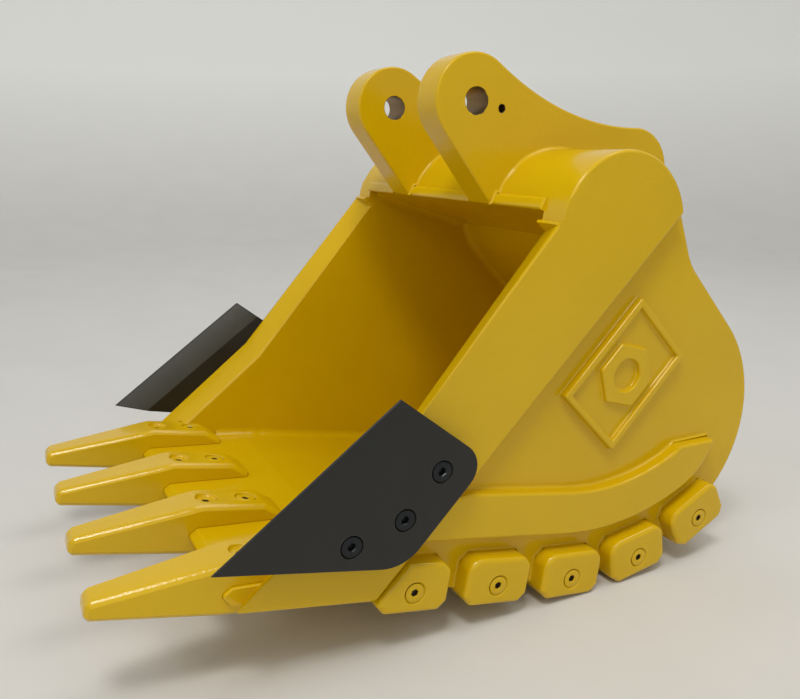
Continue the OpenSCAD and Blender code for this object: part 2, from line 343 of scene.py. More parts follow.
# %% [markdown]
# ## Bare steel, black coating and ground steel
#
# The bores are reamed after painting, so their walls are bare steel with fine
# turning marks. The side cutters have a thin satin black coating that shows faint
# scuffs. Their inner edge is ground to a bevel before coating, and the grinding
# marks run across it; the bevel's coating is given a lighter grey, which is painted
# light for the light the bevel catches. The cutters' screws are black oxide steel,
# a little glossier than the coating. The sockets of painted screws are coloured
# dark: painted shade for the shadow they hold, with dust and bare steel where the
# spray never reached.


# %% Steel finishes
SMUDGE_MM = 18  # size of the patches where the sheen changes
SHEEN_SWING = 0.06


def lined_finish(
    name, colours, roughness, stretch, line_mm, depth_mm, metallic=0.0, turn=(0, 0, 0)
):
    """A finish with fine marks: noise that is line_mm wide one way and stretched the others."""
    material, tree, surface, place = new_material(name)
    mapping = add(
        tree, "ShaderNodeMapping", {}, {"Vector": place, "Rotation": turn, "Scale": stretch}
    )
    marks = add(
        tree,
        "ShaderNodeTexNoise",
        {},
        {"Vector": mapping.outputs["Vector"], "Scale": per_metre(line_mm), "Detail": 2.0},
    )
    smudge = add(
        tree,
        "ShaderNodeTexNoise",
        {},
        {"Vector": place, "Scale": per_metre(SMUDGE_MM), "Detail": 4.0},
    )
    tone = add(
        tree,
        "ShaderNodeMath",
        {"operation": "ADD"},
        {0: marks.outputs["Fac"], 1: smudge.outputs["Fac"]},
    )
    half = add(
        tree, "ShaderNodeMath", {"operation": "MULTIPLY"}, {0: tone.outputs["Value"], 1: 0.5}
    )
    colour = add(
        tree,
        "ShaderNodeMix",
        {"data_type": "RGBA"},
        {0: half.outputs["Value"], 6: linear(colours[0]), 7: linear(colours[1])},
    )
    sheen = add(
        tree,
        "ShaderNodeMapRange",
        {},
        {
            "Value": smudge.outputs["Fac"],
            "From Min": 0.3,
            "From Max": 0.7,
            "To Min": roughness - SHEEN_SWING,
            "To Max": roughness + SHEEN_SWING,
        },
    )
    relief = add(
        tree,
        "ShaderNodeBump",
        {},
        {"Height": marks.outputs["Fac"], "Strength": 0.4, "Distance": depth_mm * MM},
    )
    tree.links.new(colour.outputs[2], surface.inputs["Base Color"])
    tree.links.new(sheen.outputs["Result"], surface.inputs["Roughness"])
    tree.links.new(relief.outputs["Normal"], surface.inputs["Normal"])
    surface.inputs["Metallic"].default_value = metallic
    return material


bare_steel = lined_finish(
    "reamed_bare_steel", ("#7A6448", "#A88C66"), 0.42, (1, 0.05, 0.05), 0.4, 0.03, 1.0
)
black_coating = lined_finish(
    "satin_black_coating", ("#0E0E0B", "#171713"), 0.46, (1, 1, 1), 0.9, 0.03
)
CUTTER_TIP = (-121.6, -139.9)  # the two ends of the cutter's upper edge, y and z in mm
CUTTER_TOP = (-58, -94.3)
CUTTER_SLOPE = math.atan2(CUTTER_TOP[1] - CUTTER_TIP[1], CUTTER_TOP[0] - CUTTER_TIP[0])
# The bevel's lighter grey is painted light for the light the bevel catches; its grinding marks are
# real.
ground_black_painted_light = lined_finish(
    "black_coating_over_grinding_marks_painted_lighter_as_lit",
    ("#2E2E28", "#4A4A41"),
    0.5,
    (0.15, 1, 0.03),
    0.5,
    0.08,
    0.0,
    (-CUTTER_SLOPE, 0, 0),
)
black_oxide = lined_finish(
    "black_oxide_steel", ("#15171A", "#2A2D31"), 0.34, (1, 1, 1), 0.5, 0.02, 0.6
)
# Painted shade and dust: the dark socket colour stands for the shadow in the hex recess, together
# with dust and unpainted steel.
socket_dust_and_shade = lined_finish("socket_dust_and_painted_shade", ("#2A2112", "#4A3B1E"), 0.6, (1, 1, 1), 0.6, 0.03)
print("finishes", len(bpy.data.materials))

# %% [markdown]
# ## Rounding the solids
#
# A plate that has been cut, dressed and painted has no truly sharp edge: the
# paint alone rounds it by half a millimetre. Each piece starts as a copy of its
# solid's mesh. The loose triangles are merged and flat areas made whole, and a
# Bevel modifier rounds each free edge by a radius that a rule gives. Edges that
# lie on a neighbour are left alone, because there the paint bridges the joint.

# %% Merged copies of the solids
NODES = frame["nodes"]
FLAT = math.radians(0.3)  # faces that meet at less than this are one face
SHANK_HOLE = 2.3 * MM  # the walls of a screw hole lie closer than this to its axis
COVERED = {
    "side_plate": ("shroud_screws", "cutter_screws"),
    "side_bar": ("cutter_screws",),
    "wrapper": ("shroud_screws",),
}


def islands(solid):
    """The points of each separate solid in a mesh."""
    left = set(solid.verts)
    while left:
        stack, found = [left.pop()], []
        while stack:
            vert = stack.pop()
            found.append(vert.co.copy())
            for edge in vert.link_edges:
                other = edge.other_vert(vert)
                if other in left:
                    left.remove(other)
                    stack.append(other)
        yield found


def box_middle(points):
    return (Vector(map(min, *points)) + Vector(map(max, *points))) / 2


def in_bore(point, reach=0.1 * MM):
    return any(math.hypot(point.y - c.y, point.z - c.z) < r + reach for c, r in BORES)


def fill_covered_holes(solid, screws):
    """Closes the screw holes under a shroud or cutter, so that the plate's faces are whole."""
    bodies = bmesh.new()
    for stem in screws:
        bodies.from_mesh(NODES[stem + "_right"].data)
    bmesh.ops.remove_doubles(bodies, verts=bodies.verts, dist=ONE_POINT)
    axes = [box_middle(found) for found in islands(bodies)]
    bodies.free()
    walls = [
        f
        for f in solid.faces
        if any(
            all(math.hypot(v.co.y - c.y, v.co.z - c.z) < SHANK_HOLE for v in f.verts) for c in axes
        )
    ]
    bmesh.ops.delete(solid, geom=walls, context="FACES")
    rims = [e for e in solid.edges if e.is_boundary]
    bmesh.ops.holes_fill(solid, edges=rims, sides=0)


def merged_copy(node, tiny=0.0):
    """A solid's mesh with whole flat faces. Edges shorter than tiny are closed up."""
    solid = bmesh.new()
    solid.from_mesh(NODES[node].data)
    bmesh.ops.remove_doubles(solid, verts=solid.verts, dist=ONE_POINT)
    screws = COVERED.get(node.replace("_right", "").replace("_left", ""))
    if screws:
        fill_covered_holes(solid, screws)
    if tiny:
        outside_bores = [v for v in solid.verts if not in_bore(v.co)]
        bmesh.ops.remove_doubles(solid, verts=outside_bores, dist=tiny)
    bmesh.ops.dissolve_limit(solid, angle_limit=FLAT, verts=solid.verts, edges=solid.edges)
    solid.normal_update()
    return solid


print("covered holes are filled in", list(COVERED))


# %% Neighbours and plain meshes
def all_but(node):
    """A search tree over every other solid, to find the edges that lie on one."""
    points, faces = [], []
    for name, other in NODES.items():
        if name != node and "screws" not in name:
            start = len(points)
            points += [v.co.copy() for v in other.data.vertices]
            faces += [[start + i for i in p.vertices] for p in other.data.polygons]
    return BVHTree.FromPolygons(points, faces)


def middle(edge):
    return (edge.verts[0].co + edge.verts[1].co) / 2


def plain_mesh(name, thing):
    """The mesh that the modifiers on thing make, in a new object without them."""
    graph = bpy.context.evaluated_depsgraph_get()
    mesh = bpy.data.meshes.new_from_object(thing.evaluated_get(graph))
    bpy.data.objects.remove(thing)
    return in_scene(name, mesh)


def smooth_by_angle(thing, angle=SHARP):
    shape = bmesh.new()
    shape.from_mesh(thing.data)
    for face in shape.faces:
        face.smooth = True
    for edge in shape.edges:
        edge.smooth = edge.calc_face_angle(math.pi) < angle
    shape.to_mesh(thing.data)
    shape.free()


# %% Rounded copies of the solids
FULL_ROUND = 0.5  # the Bevel modifier's profile for a quarter circle


def rounded(
    node,
    name,
    materials,
    radius_of,
    segments=3,
    paint=None,
    like=None,
    tiny=0.0,
    profile=FULL_ROUND,
):
    """A rounded copy of a solid. radius_of(edge, middle, touches) gives millimetres or 0.

    paint(face) gives the number of a face's material. A solid that is the same as
    another one is made like it, and moved to its own place."""
    source = like or node
    solid = merged_copy(source, tiny)
    weight = solid.edges.layers.float.new("bevel_weight_edge")
    around = all_but(source)
    radii = {}
    for edge in solid.edges:
        if edge.calc_face_angle(0) > SHARP:
            point = middle(edge)
            near = around.find_nearest(point, 1 * MM)
            touches = near[0] is not None and near[3] < TOUCHING
            radii[edge] = radius_of(edge, point, touches)
    largest = max(radii.values(), default=0)
    for edge, radius in radii.items():
        edge[weight] = radius / largest if largest else 0
    bmesh.ops.translate(solid, verts=solid.verts, vec=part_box(node)[0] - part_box(source)[0])
    mesh = bpy.data.meshes.new(name)
    solid.to_mesh(mesh)
    solid.free()
    thing = in_scene(name + "_rough", mesh)
    if largest:
        bevel = thing.modifiers.new("rounding", "BEVEL")
        bevel.limit_method = "WEIGHT"
        bevel.offset_type = "OFFSET"
        bevel.width = largest * MM
        bevel.segments = segments
        bevel.profile = profile
        bevel.use_clamp_overlap = False
        bevel.loop_slide = False
    thing = plain_mesh(name + "_cut", thing)
    smooth_by_angle(thing)
    shading = thing.modifiers.new("shading", "WEIGHTED_NORMAL")
    shading.keep_sharp = True
    thing = plain_mesh(name, thing)
    thing.data.materials.clear()
    for material in materials:
        thing.data.materials.append(material)
    for face in thing.data.polygons:
        face.material_index = paint(face) if paint else 0
    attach(thing, "root")
    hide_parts(node)
    print(name, len(thing.data.polygons), "faces, rounded up to", largest, "mm")


def free_edges(radius, touching=0.0):
    return lambda edge, point, touches: touching if touches else radius


# %% [markdown]
# ## The welded shell
#
# Two side plates, a thick bent plate for the floor, heel and back, a lip plate and
# a hollow beam across the top are welded together and dressed flush, so their
# joints don't show and only their free edges are rounded. The side bars are a
# second layer of plate round the mouth, with a softly rounded outer edge.

# %% Shell pieces
HOLE_EDGE = 0.9 * MM  # the short edges round a screw hole, which the screw hides
TINY = 0.5 * MM  # edges of the big plates shorter than this are closed up before rounding
NOSE = Vector((0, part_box("top_beam_floor")[0].y, BORES[0][0].z - 40 * MM))
NOSE_REACH = 8 * MM  # round the ends of the roof plate's nose, small corners are dressed flush


def shell_radius(radius, sharp_corners=True):
    def rule(edge, point, touches):
        at_nose = math.hypot(point.y - NOSE.y, point.z - NOSE.z) < NOSE_REACH
        if touches or (sharp_corners and (at_nose or edge.calc_length() < HOLE_EDGE)):
            return 0.0
        return radius

    return rule


for side in ("right", "left"):
    for kind, radius in (("side_plate", 1.1), ("side_bar", 1.4)):
        rounded(
            f"{kind}_{side}",
            f"painted_{kind}_{side}",
            [yellow_enamel],
            shell_radius(radius),
            tiny=TINY,
        )
for node, radius in (
    ("wrapper", 0.6),
    ("lip", 0.5),
    ("top_beam_cover", 0.5),
    ("top_beam_floor", 1.4),
):
    rule = shell_radius(radius, sharp_corners=node != "top_beam_floor")
    rounded(node, "painted_" + node, [yellow_enamel], rule)

# %% [markdown]
# ## Hitch ears
#
# The ears are thick plate, flame cut and drilled, with small radii on their
# outlines. The walls of the bores are bare steel, so those faces take a second
# material.


# %% Hitch ears
def ear_radius(edge, point, touches):
    if in_bore(point):
        return 0.3
    return 0.0 if touches else 0.9


def bare_in_bores(face):
    return 1 if in_bore(face.center) and abs(face.normal.x) < 0.3 else 0


for side in ("right", "left"):
    rounded(
        f"ear_{side}",
        f"painted_hitch_ear_{side}",
        [chipped_yellow[side], bare_steel],
        ear_radius,
        3,
        bare_in_bores,
        tiny=TINY,
    )

# %% [markdown]
# ## Teeth
#
# Each tooth is a forged point with a slot that slides over the lip, and a flap
# screwed down on top. Its upper edges are dressed to a broad, slightly flat radius
# that throws the brightest highlights on the bucket. The edges that lie on the lip keep a
# hair of a radius, so that the joint shows as the thin dark line it is.


# %% Teeth
TOOTH_SIDE = 0.7  # a face whose normal points this far to the side is a flank
DRESSED = 0.33  # between a flat chamfer and a full round


def tooth_radius(edge, point, touches):
    if edge.calc_length() < HOLE_EDGE:
        return 0.3
    if touches:
        return 0.25
    normals = [f.normal for f in edge.link_faces]
    flank = any(abs(n.x) > TOOTH_SIDE for n in normals)
    front = any(n.y < -TOOTH_SIDE for n in normals)
    return 1.9 if flank or front else 0.8


for i in range(1, 5):
    rounded(
        f"tooth_{i}",
        f"bolt_on_tooth_{i}",
        [yellow_enamel],
        tooth_radius,
        4,
        like="tooth_2",
        profile=DRESSED,
    )

# %% [markdown]
# ## Side cutters
#
# The cutters are hard plate, water-jet cut, so their edges stay crisp, with only
# the film of the coating to soften them. The wide bevel inside the front edge
# shows its grinding marks and takes its own material, whose lighter grey is
# painted light for the light the bevel catches.


# %% Side cutters
def cutter_radius(edge, point, touches):
    if touches:
        return 0.0
    return 0.2 if edge.calc_length() < HOLE_EDGE else 0.45


# The bevel's faces, which take the lighter grey that stands for the light they catch.
def ground_face(face):
    slanted = 0.3 < abs(face.normal.x) < 0.98
    return 1 if slanted and face.area > 30 * MM * MM else 0


for side in ("right", "left"):
    rounded(
        f"side_cutter_{side}",
        f"coated_side_cutter_{side}",
        [black_coating, ground_black_painted_light],
        cutter_radius,
        3,
        ground_face,
    )

# %% [markdown]
# ## Wear plates, shrouds and badges
#
# The curved wear plates have generously rounded top edges. The heel shrouds
# are cast blocks with broad, soft edges. The badge is a raised plate with a rim,
# and a plain hexagon nut as its emblem.

# %% Wear plates, shrouds and badges
for side in ("right", "left"):
    rounded(
        f"side_wear_plate_{side}",
        f"painted_wear_plate_{side}",
        [yellow_enamel],
        free_edges(1.3),
        tiny=0.8 * MM,
    )
    rounded(
        f"badge_{side}", f"raised_badge_{side}", [yellow_enamel], free_edges(0.75)
    )


NEAR_FACE = 0.1 * MM


def shroud_radius(edge, point, touches):
    if edge.calc_length() < HOLE_EDGE:
        return 0.45 if abs(point.x) > SHROUD_OUT - NEAR_FACE else 0.0
    if touches:
        return 0.0
    if abs(point.x) < PLATE_OUT:
        return 0.9
    on_face = all(abs(v.co.x) > SHROUD_OUT - NEAR_FACE for v in edge.verts)
    return 1.9 if on_face else 2.0


for side in ("right", "left"):
    for i in range(1, 6):
        rounded(
            f"heel_shroud_{side}_{i}",
            f"heel_shroud_block_{side}_{i}",
            [yellow_enamel],
            shroud_radius,
            4,
        )

# %% [markdown]
# ## Paint fillets along the joints
#
# Where one plate stands on another, weld and thick paint leave a small hollow
# fillet. Each follows the foot of a plate, so it can be made as a path that
# carries two directions at each point: away from the standing plate, and up its
# wall. A Geometry Nodes tree sweeps a closed section along the path and
# moves its points into a hollow quarter circle. Noise makes its width
# uneven, as a brushed or sprayed bead is.

# %% A tree and how it is run
def new_tree(name, inputs):
    """A Geometry Nodes tree that takes geometry and the named inputs, and its input node."""
    tree = bpy.data.node_groups.new(name, "GeometryNodeTree")
    for socket, kind in {"Geometry": "Geometry", **inputs}.items():
        tree.interface.new_socket(socket, in_out="INPUT", socket_type="NodeSocket" + kind)
    tree.interface.new_socket("Geometry", in_out="OUTPUT", socket_type="NodeSocketGeometry")
    return tree, add(tree, "NodeGroupInput")


def run_tree(name, tree, start, values):
    """Runs a tree on a mesh and gives the result as a plain object."""
    thing = in_scene(name + "_start", start)
    modifier = thing.modifiers.new("tree", "NODES")
    modifier.node_group = tree
    for item in tree.interface.items_tree:
        if item.in_out == "INPUT" and item.name in values:
            modifier[item.identifier] = values[item.name]
    return plain_mesh(name, thing)


def drop_attributes(thing, names):
    """Removes a tree's working values from a finished mesh."""
    for name in names:
        layer = thing.data.attributes.get(name)
        if layer:
            thing.data.attributes.remove(layer)


# %% Fillet tree
ARC_POINTS = 5
SUNK = -0.3  # the last point lies this share of the radius inside both plates
FILLET_INPUTS = {
    "Radius": "Float",
    "Unevenness": "Float",
    "Ripple": "Float",
    "Material": "Material",
}


def fillet_tree():
    tree, given = new_tree("paint_fillet", FILLET_INPUTS)
    here = add(tree, "GeometryNodeInputPosition").outputs[0]
    path = add(tree, "GeometryNodeMeshToCurve", {}, {"Mesh": given.outputs["Geometry"]})
    kept = add(
        tree,
        "GeometryNodeStoreNamedAttribute",
        {"data_type": "FLOAT_VECTOR"},
        {"Geometry": path.outputs["Curve"], "Name": "corner", "Value": here},
    )
    # The section: ARC_POINTS points round the hollow, and a last one sunk into the corner.
    dots = add(tree, "GeometryNodeMeshLine", {}, {"Count": ARC_POINTS + 1})
    index = add(tree, "GeometryNodeInputIndex").outputs[0]
    turn = add(
        tree,
        "ShaderNodeMath",
        {"operation": "MULTIPLY"},
        {0: index, 1: math.pi / 2 / (ARC_POINTS - 1)},
    ).outputs[0]
    sunk = add(
        tree, "ShaderNodeMath", {"operation": "GREATER_THAN"}, {0: index, 1: ARC_POINTS - 0.5}
    ).outputs[0]
    section = dots.outputs["Mesh"]
    for name, kind in (("outwards", "SINE"), ("upwards", "COSINE")):
        bow = add(tree, "ShaderNodeMath", {"operation": kind}, {0: turn}).outputs[0]
        reach = add(tree, "ShaderNodeMath", {"operation": "SUBTRACT"}, {0: 1.0, 1: bow}).outputs[0]
        value = add(
            tree,
            "GeometryNodeSwitch",
            {"input_type": "FLOAT"},
            {"Switch": sunk, "False": reach, "True": SUNK},
        )
        section = add(
            tree,
            "GeometryNodeStoreNamedAttribute",
            {"data_type": "FLOAT"},
            {"Geometry": section, "Name": name, "Value": value.outputs[0]},
        ).outputs["Geometry"]
    ring = add(tree, "GeometryNodeMeshToCurve", {}, {"Mesh": section})
    ring = add(
        tree,
        "GeometryNodeSetSplineCyclic",
        {},
        {"Geometry": ring.outputs["Curve"], "Cyclic": True},
    )
    swept = add(
        tree,
        "GeometryNodeCurveToMesh",
        {},
        {
            "Curve": kept.outputs["Geometry"],
            "Profile Curve": ring.outputs["Geometry"],
            "Fill Caps": True,
        },
    )
    named = {
        name: add(
            tree, "GeometryNodeInputNamedAttribute", {"data_type": kind}, {"Name": name}
        ).outputs["Attribute"]
        for name, kind in (
            ("corner", "FLOAT_VECTOR"),
            ("away", "FLOAT_VECTOR"),
            ("up", "FLOAT_VECTOR"),
            ("outwards", "FLOAT"),
            ("upwards", "FLOAT"),
        )
    }
    wave = add(
        tree,
        "ShaderNodeTexNoise",
        {},
        {"Vector": named["corner"], "Scale": given.outputs["Ripple"], "Detail": 2.0},
    )
    swing = add(
        tree,
        "ShaderNodeMapRange",
        {},
        {
            "Value": wave.outputs["Fac"],
            "From Min": 0.3,
            "From Max": 0.7,
            "To Min": -1.0,
            "To Max": 1.0,
        },
    )
    width = add(
        tree,
        "ShaderNodeMath",
        {"operation": "MULTIPLY_ADD"},
        {0: swing.outputs["Result"], 1: given.outputs["Unevenness"], 2: 1.0},
    )
    size = add(
        tree,
        "ShaderNodeMath",
        {"operation": "MULTIPLY"},
        {0: width.outputs[0], 1: given.outputs["Radius"]},
    )
    moved = named["corner"]
    for direction, share in (("away", "outwards"), ("up", "upwards")):
        reach = add(
            tree,
            "ShaderNodeMath",
            {"operation": "MULTIPLY"},
            {0: size.outputs[0], 1: named[share]},
        )
        step = add(
            tree,
            "ShaderNodeVectorMath",
            {"operation": "SCALE"},
            {0: named[direction], "Scale": reach.outputs[0]},
        )
        moved = add(
            tree, "ShaderNodeVectorMath", {"operation": "ADD"}, {0: moved, 1: step.outputs[0]}
        ).outputs[0]
    placed = add(
        tree, "GeometryNodeSetPosition", {}, {"Geometry": swept.outputs["Mesh"], "Position": moved}
    )
    whole = add(tree, "GeometryNodeRealizeInstances", {}, {"Geometry": placed.outputs["Geometry"]})
    dressed = add(
        tree,
        "GeometryNodeSetMaterial",
        {},
        {"Geometry": whole.outputs["Geometry"], "Material": given.outputs["Material"]},
    )
    add(tree, "NodeGroupOutput", {}, {"Geometry": dressed.outputs["Geometry"]})
    return tree


FILLET = fillet_tree()
print("fillet tree has", len(FILLET.nodes), "nodes")

# %% [markdown]
# ## Finding the feet of the plates
#
# The face with which a plate stands on another is flat, so its outline is the
# path that the fillet follows. Only the stretches with the host plate on their
# other side are kept. Each corner's outward direction is lengthened to a mitre, so
# that the bead keeps its width round it.


# %% Foot outlines
SAME_CORNER = 0.004 * MM  # corners are matched on a grid of this size
PEEK = 0.6 * MM  # how far beside the foot the host plate is looked for
STEP = 1.5 * MM


def outline(node, x):
    """Each edge round the faces of a solid in the plane x, as (start, end, outward)."""
    solid = merged_copy(node)
    edges = []
    for face in solid.faces:
        if all(abs(v.co.x - x) < IN_PLANE for v in face.verts):
            for corner in face.loops:
                others = [f for f in corner.edge.link_faces if f is not face]
                if others and not all(abs(v.co.x - x) < IN_PLANE for v in others[0].verts):
                    a, b = corner.vert.co.copy(), corner.link_loop_next.vert.co.copy()
                    edges.append((a, b, (b - a).cross(face.normal).normalized()))
    solid.free()
    return edges


def inside(point, edges):
    crossings = 0
    for a, b, _ in edges:
        if (a.z > point.z) != (b.z > point.z):
            crossings += point.y < a.y + (point.z - a.z) * (b.y - a.y) / (b.z - a.z)
    return crossings % 2 == 1


def grid_key(point):
    return tuple(round(c / SAME_CORNER) for c in point)


def foot_mesh(name, nodes, x, host, up, keep=None, step=STEP):
    """The kept stretches of the outlines, cut into short steps, with their two directions."""
    ground = outline(host, x)
    points, lines, aways = [], [], []
    for node in nodes:
        edges = outline(node, x)
        following = {grid_key(a): (a, b, out) for a, b, out in edges}
        before = {grid_key(b): out for a, b, out in edges}
        number = {}
        for key, (a, b, out) in following.items():
            ends = []
            for point, where in ((a, key), (b, grid_key(b))):
                if where not in number:
                    first = before.get(where, out)
                    second = following[where][2] if where in following else out
                    mitre = (first + second).normalized()
                    if mitre.length < 0.5 or abs(mitre.dot(second)) < 0.3:
                        mitre = second
                    mitre = mitre / max(mitre.dot(second), 0.5)
                    number[where] = len(points)
                    points.append(point)
                    aways.append(mitre)
                ends.append(number[where])
            count = max(1, math.ceil((b - a).length / step))
            for i in range(1, count):
                points.append(a.lerp(b, i / count))
                aways.append(out)
            chain = [ends[0], *range(len(points) - count + 1, len(points)), ends[1]]
            for pair in zip(chain, chain[1:]):
                centre = (points[pair[0]] + points[pair[1]]) / 2
                if inside(centre + out * PEEK, ground) and (keep is None or keep(centre)):
                    lines.append(pair)
    return path_mesh(name, points, lines, aways, [up] * len(points))


# %% Feet on a curved host
def standing_foot(name, node):
    """The foot of an upright plate: edges between its sides and the faces it stands on."""
    solid, around = merged_copy(node), all_but(node)
    number, points, aways, ups, lines = {}, [], [], [], []
    for edge in solid.edges:
        base, wall = sorted(edge.link_faces, key=lambda f: abs(f.normal.x))
        near = around.find_nearest(base.calc_center_median(), 1 * MM)
        upright = abs(wall.normal.x) > 0.99 and abs(base.normal.x) < 0.01
        if not upright or near[0] is None or near[3] > TOUCHING:
            continue
        ends = []
        for vert in edge.verts:
            if vert.index not in number:
                number[vert.index] = len(points)
                points.append(vert.co.copy())
                aways.append(wall.normal.copy())
                ups.append(Vector())
            ups[number[vert.index]] -= base.normal
            ends.append(number[vert.index])
        lines.append(tuple(ends))
    solid.free()
    return path_mesh(name, points, lines, aways, [u.normalized() for u in ups])


def path_mesh(name, points, lines, aways, ups):
    mesh = bpy.data.meshes.new(name)
    mesh.from_pydata([tuple(p) for p in points], lines, [])
    for attribute, values in (("away", aways), ("up", ups)):
        layer = mesh.attributes.new(attribute, "FLOAT_VECTOR", "POINT")
        layer.data.foreach_set("vector", [c for v in values for c in v])
    return mesh


# %% Fillets
def fillet(name, start, radius_mm, uneven=0.15, ripple_mm=5.0):
    """Sweeps a fillet along a path mesh and parents it to the root body."""
    made = run_tree(
        name,
        FILLET,
        start,
        {
            "Radius": radius_mm * MM,
            "Unevenness": uneven,
            "Ripple": per_metre(ripple_mm),
            "Material": yellow_enamel,
        },
    )
    shape = bmesh.new()
    shape.from_mesh(made.data)
    bmesh.ops.remove_doubles(shape, verts=shape.verts, dist=ONE_POINT / 2)
    bmesh.ops.recalc_face_normals(shape, faces=shape.faces)
    shape.to_mesh(made.data)
    shape.free()
    smooth_by_angle(made, math.radians(40))
    drop_attributes(made, ("corner", "away", "up", "outwards", "upwards"))
    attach(made, "root")
    print(name, len(made.data.polygons), "faces")


# %% Fillets on the outside of the side plates and in the bowl
ROOF_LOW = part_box("top_beam_floor")[0]
ROOF_NOSE = ROOF_LOW.y + 6 * MM


def in_the_bowl(point):
    """Not along the roof plate's rounded nose, where the joint is dressed flush."""
    return point.z < ROOF_LOW.z or point.y > ROOF_NOSE


for side, sign in (("right", 1), ("left", -1)):
    out, plate = Vector((sign, 0, 0)), f"side_plate_{side}"
    for kind, node, radius in (
        ("bar", "side_bar", 1.3),
        ("wear_plate", "side_wear_plate", 1.0),
        ("badge", "badge", 0.8),
    ):
        foot = foot_mesh(kind + "_foot", [f"{node}_{side}"], sign * PLATE_OUT, plate, out)
        fillet(f"{kind}_fillet_{side}", foot, radius)
    shrouds = [f"heel_shroud_{side}_{i}" for i in range(1, 6)]
    foot = foot_mesh("shroud_foot", shrouds, sign * PLATE_OUT, plate, out, step=0.8 * MM)
    fillet(f"shroud_fillet_{side}", foot, 0.7, 0.45, 2.2)
    bowl = ["wrapper", "lip", "top_beam_floor"]
    foot = foot_mesh("bowl_foot", bowl, sign * PLATE_IN, plate, -out, in_the_bowl)
    fillet(f"bowl_fillet_{side}", foot, 3.0)
    fillet(f"ear_fillet_{side}", standing_foot("ear_foot", f"ear_{side}"), 1.1, 0.3)

# %% [markdown]
# ## Screws
#
# Countersunk socket screws hold the teeth, cutters and shrouds. One head is
# modelled ring by ring: a hexagon socket, a flat annulus, a small outer chamfer
# and the cone below. A Geometry Nodes tree sets a copy at each seat, turned to
# face the way the seat does and spun by a seeded random angle, since no two
# screws stop at the same turn.

# %% One screw head
HEAD_RADIUS = 3.62 * MM  # a little less than the seat, so a dark ring shows round it
SOCKET_ACROSS = 2.5 * MM
HEAD_SIDES = 36


def hexagon(angle, across):
    turned = (angle + math.pi / 6) % (math.pi / 3) - math.pi / 6
    return across / 2 / math.cos(turned)


def screw_head():
    socket = SOCKET_ACROSS
    # Each ring's size, its height in mm, whether the band that ends there is the
    # socket's wall or floor, and whether the ring is a hexagon.
    rings = (
        (0, -1.7, 1, 1),
        (socket, -1.7, 1, 1),
        (socket, -0.35, 1, 1),
        (socket * 1.22, 0, 0, 1),
        (HEAD_RADIUS * 0.92, 0.02, 0, 0),
        (HEAD_RADIUS * 0.985, -0.08, 0, 0),
        (HEAD_RADIUS, -0.3, 0, 0),
        (HEAD_RADIUS * 0.55, -2.3, 0, 0),
        (0, -2.3, 0, 0),
    )
    shape = bmesh.new()
    recess = shape.faces.layers.float.new("recess")
    loops = []
    for size, height, _, six in rings:
        loop = []
        for i in range(HEAD_SIDES if size else 1):
            angle = 2 * math.pi * i / HEAD_SIDES
            reach = hexagon(angle, size) if six else size
            loop.append(
                shape.verts.new((reach * math.cos(angle), reach * math.sin(angle), height * MM))
            )
        loops.append(loop)
    for low, high, (_, _, in_socket, _) in zip(loops, loops[1:], rings[1:]):
        for i in range(HEAD_SIDES):
            j = (i + 1) % HEAD_SIDES
            corners = [
                low[i % len(low)], high[i % len(high)], high[j % len(high)], low[j % len(low)]
            ]
            face = shape.faces.new(list(dict.fromkeys(corners)))
            face[recess] = in_socket
    bmesh.ops.recalc_face_normals(shape, faces=shape.faces)
    mesh = bpy.data.meshes.new("screw_head")
    shape.to_mesh(mesh)
    shape.free()
    head = bpy.data.objects.new("screw_head", mesh)
    smooth_by_angle(head)
    return head


# %% Screw tree
SCREW_INPUTS = {
    "Head": "Object",
    "Seed": "Int",
    "Screw finish": "Material",
    "Socket dust and shade": "Material",
}


def screw_tree():
    tree, given = new_tree("set_screws", SCREW_INPUTS)
    head = add(tree, "GeometryNodeObjectInfo", {}, {"Object": given.outputs["Head"]})
    facing = add(
        tree, "GeometryNodeInputNamedAttribute", {"data_type": "FLOAT_VECTOR"}, {"Name": "facing"}
    )
    chance = add(
        tree,
        "FunctionNodeRandomValue",
        {"data_type": "FLOAT"},
        {"Min": 0.0, "Max": math.pi / 3, "Seed": given.outputs["Seed"]},
    )
    angle = next(o for o in chance.outputs if o.enabled)
    spin = add(tree, "ShaderNodeCombineXYZ", {}, {"Z": angle})
    spun = add(tree, "FunctionNodeEulerToRotation", {}, {"Euler": spin.outputs[0]})
    aimed = add(
        tree,
        "FunctionNodeAlignRotationToVector",
        {"axis": "Z"},
        {"Vector": facing.outputs["Attribute"]},
    )
    turned = add(
        tree,
        "FunctionNodeRotateRotation",
        {"rotation_space": "LOCAL"},
        {0: aimed.outputs[0], 1: spun.outputs[0]},
    )
    copies = add(
        tree,
        "GeometryNodeInstanceOnPoints",
        {},
        {
            "Points": given.outputs["Geometry"],
            "Instance": head.outputs["Geometry"],
            "Rotation": turned.outputs[0],
        },
    )
    whole = add(
        tree, "GeometryNodeRealizeInstances", {}, {"Geometry": copies.outputs["Instances"]}
    )
    dressed = add(
        tree,
        "GeometryNodeSetMaterial",
        {},
        {"Geometry": whole.outputs["Geometry"], "Material": given.outputs["Screw finish"]},
    )
    # The socket's walls and floor take the socket material, whose dark colour is painted shade
    # with dust.
    hollow = add(
        tree, "GeometryNodeInputNamedAttribute", {"data_type": "FLOAT"}, {"Name": "recess"}
    )
    dark = add(
        tree,
        "ShaderNodeMath",
        {"operation": "GREATER_THAN"},
        {0: hollow.outputs["Attribute"], 1: 0.5},
    )
    finished = add(
        tree,
        "GeometryNodeSetMaterial",
        {},
        {
            "Geometry": dressed.outputs["Geometry"],
            "Selection": dark.outputs[0],
            "Material": given.outputs["Socket dust and shade"],
        },
    )
    add(tree, "NodeGroupOutput", {}, {"Geometry": finished.outputs["Geometry"]})
    return tree


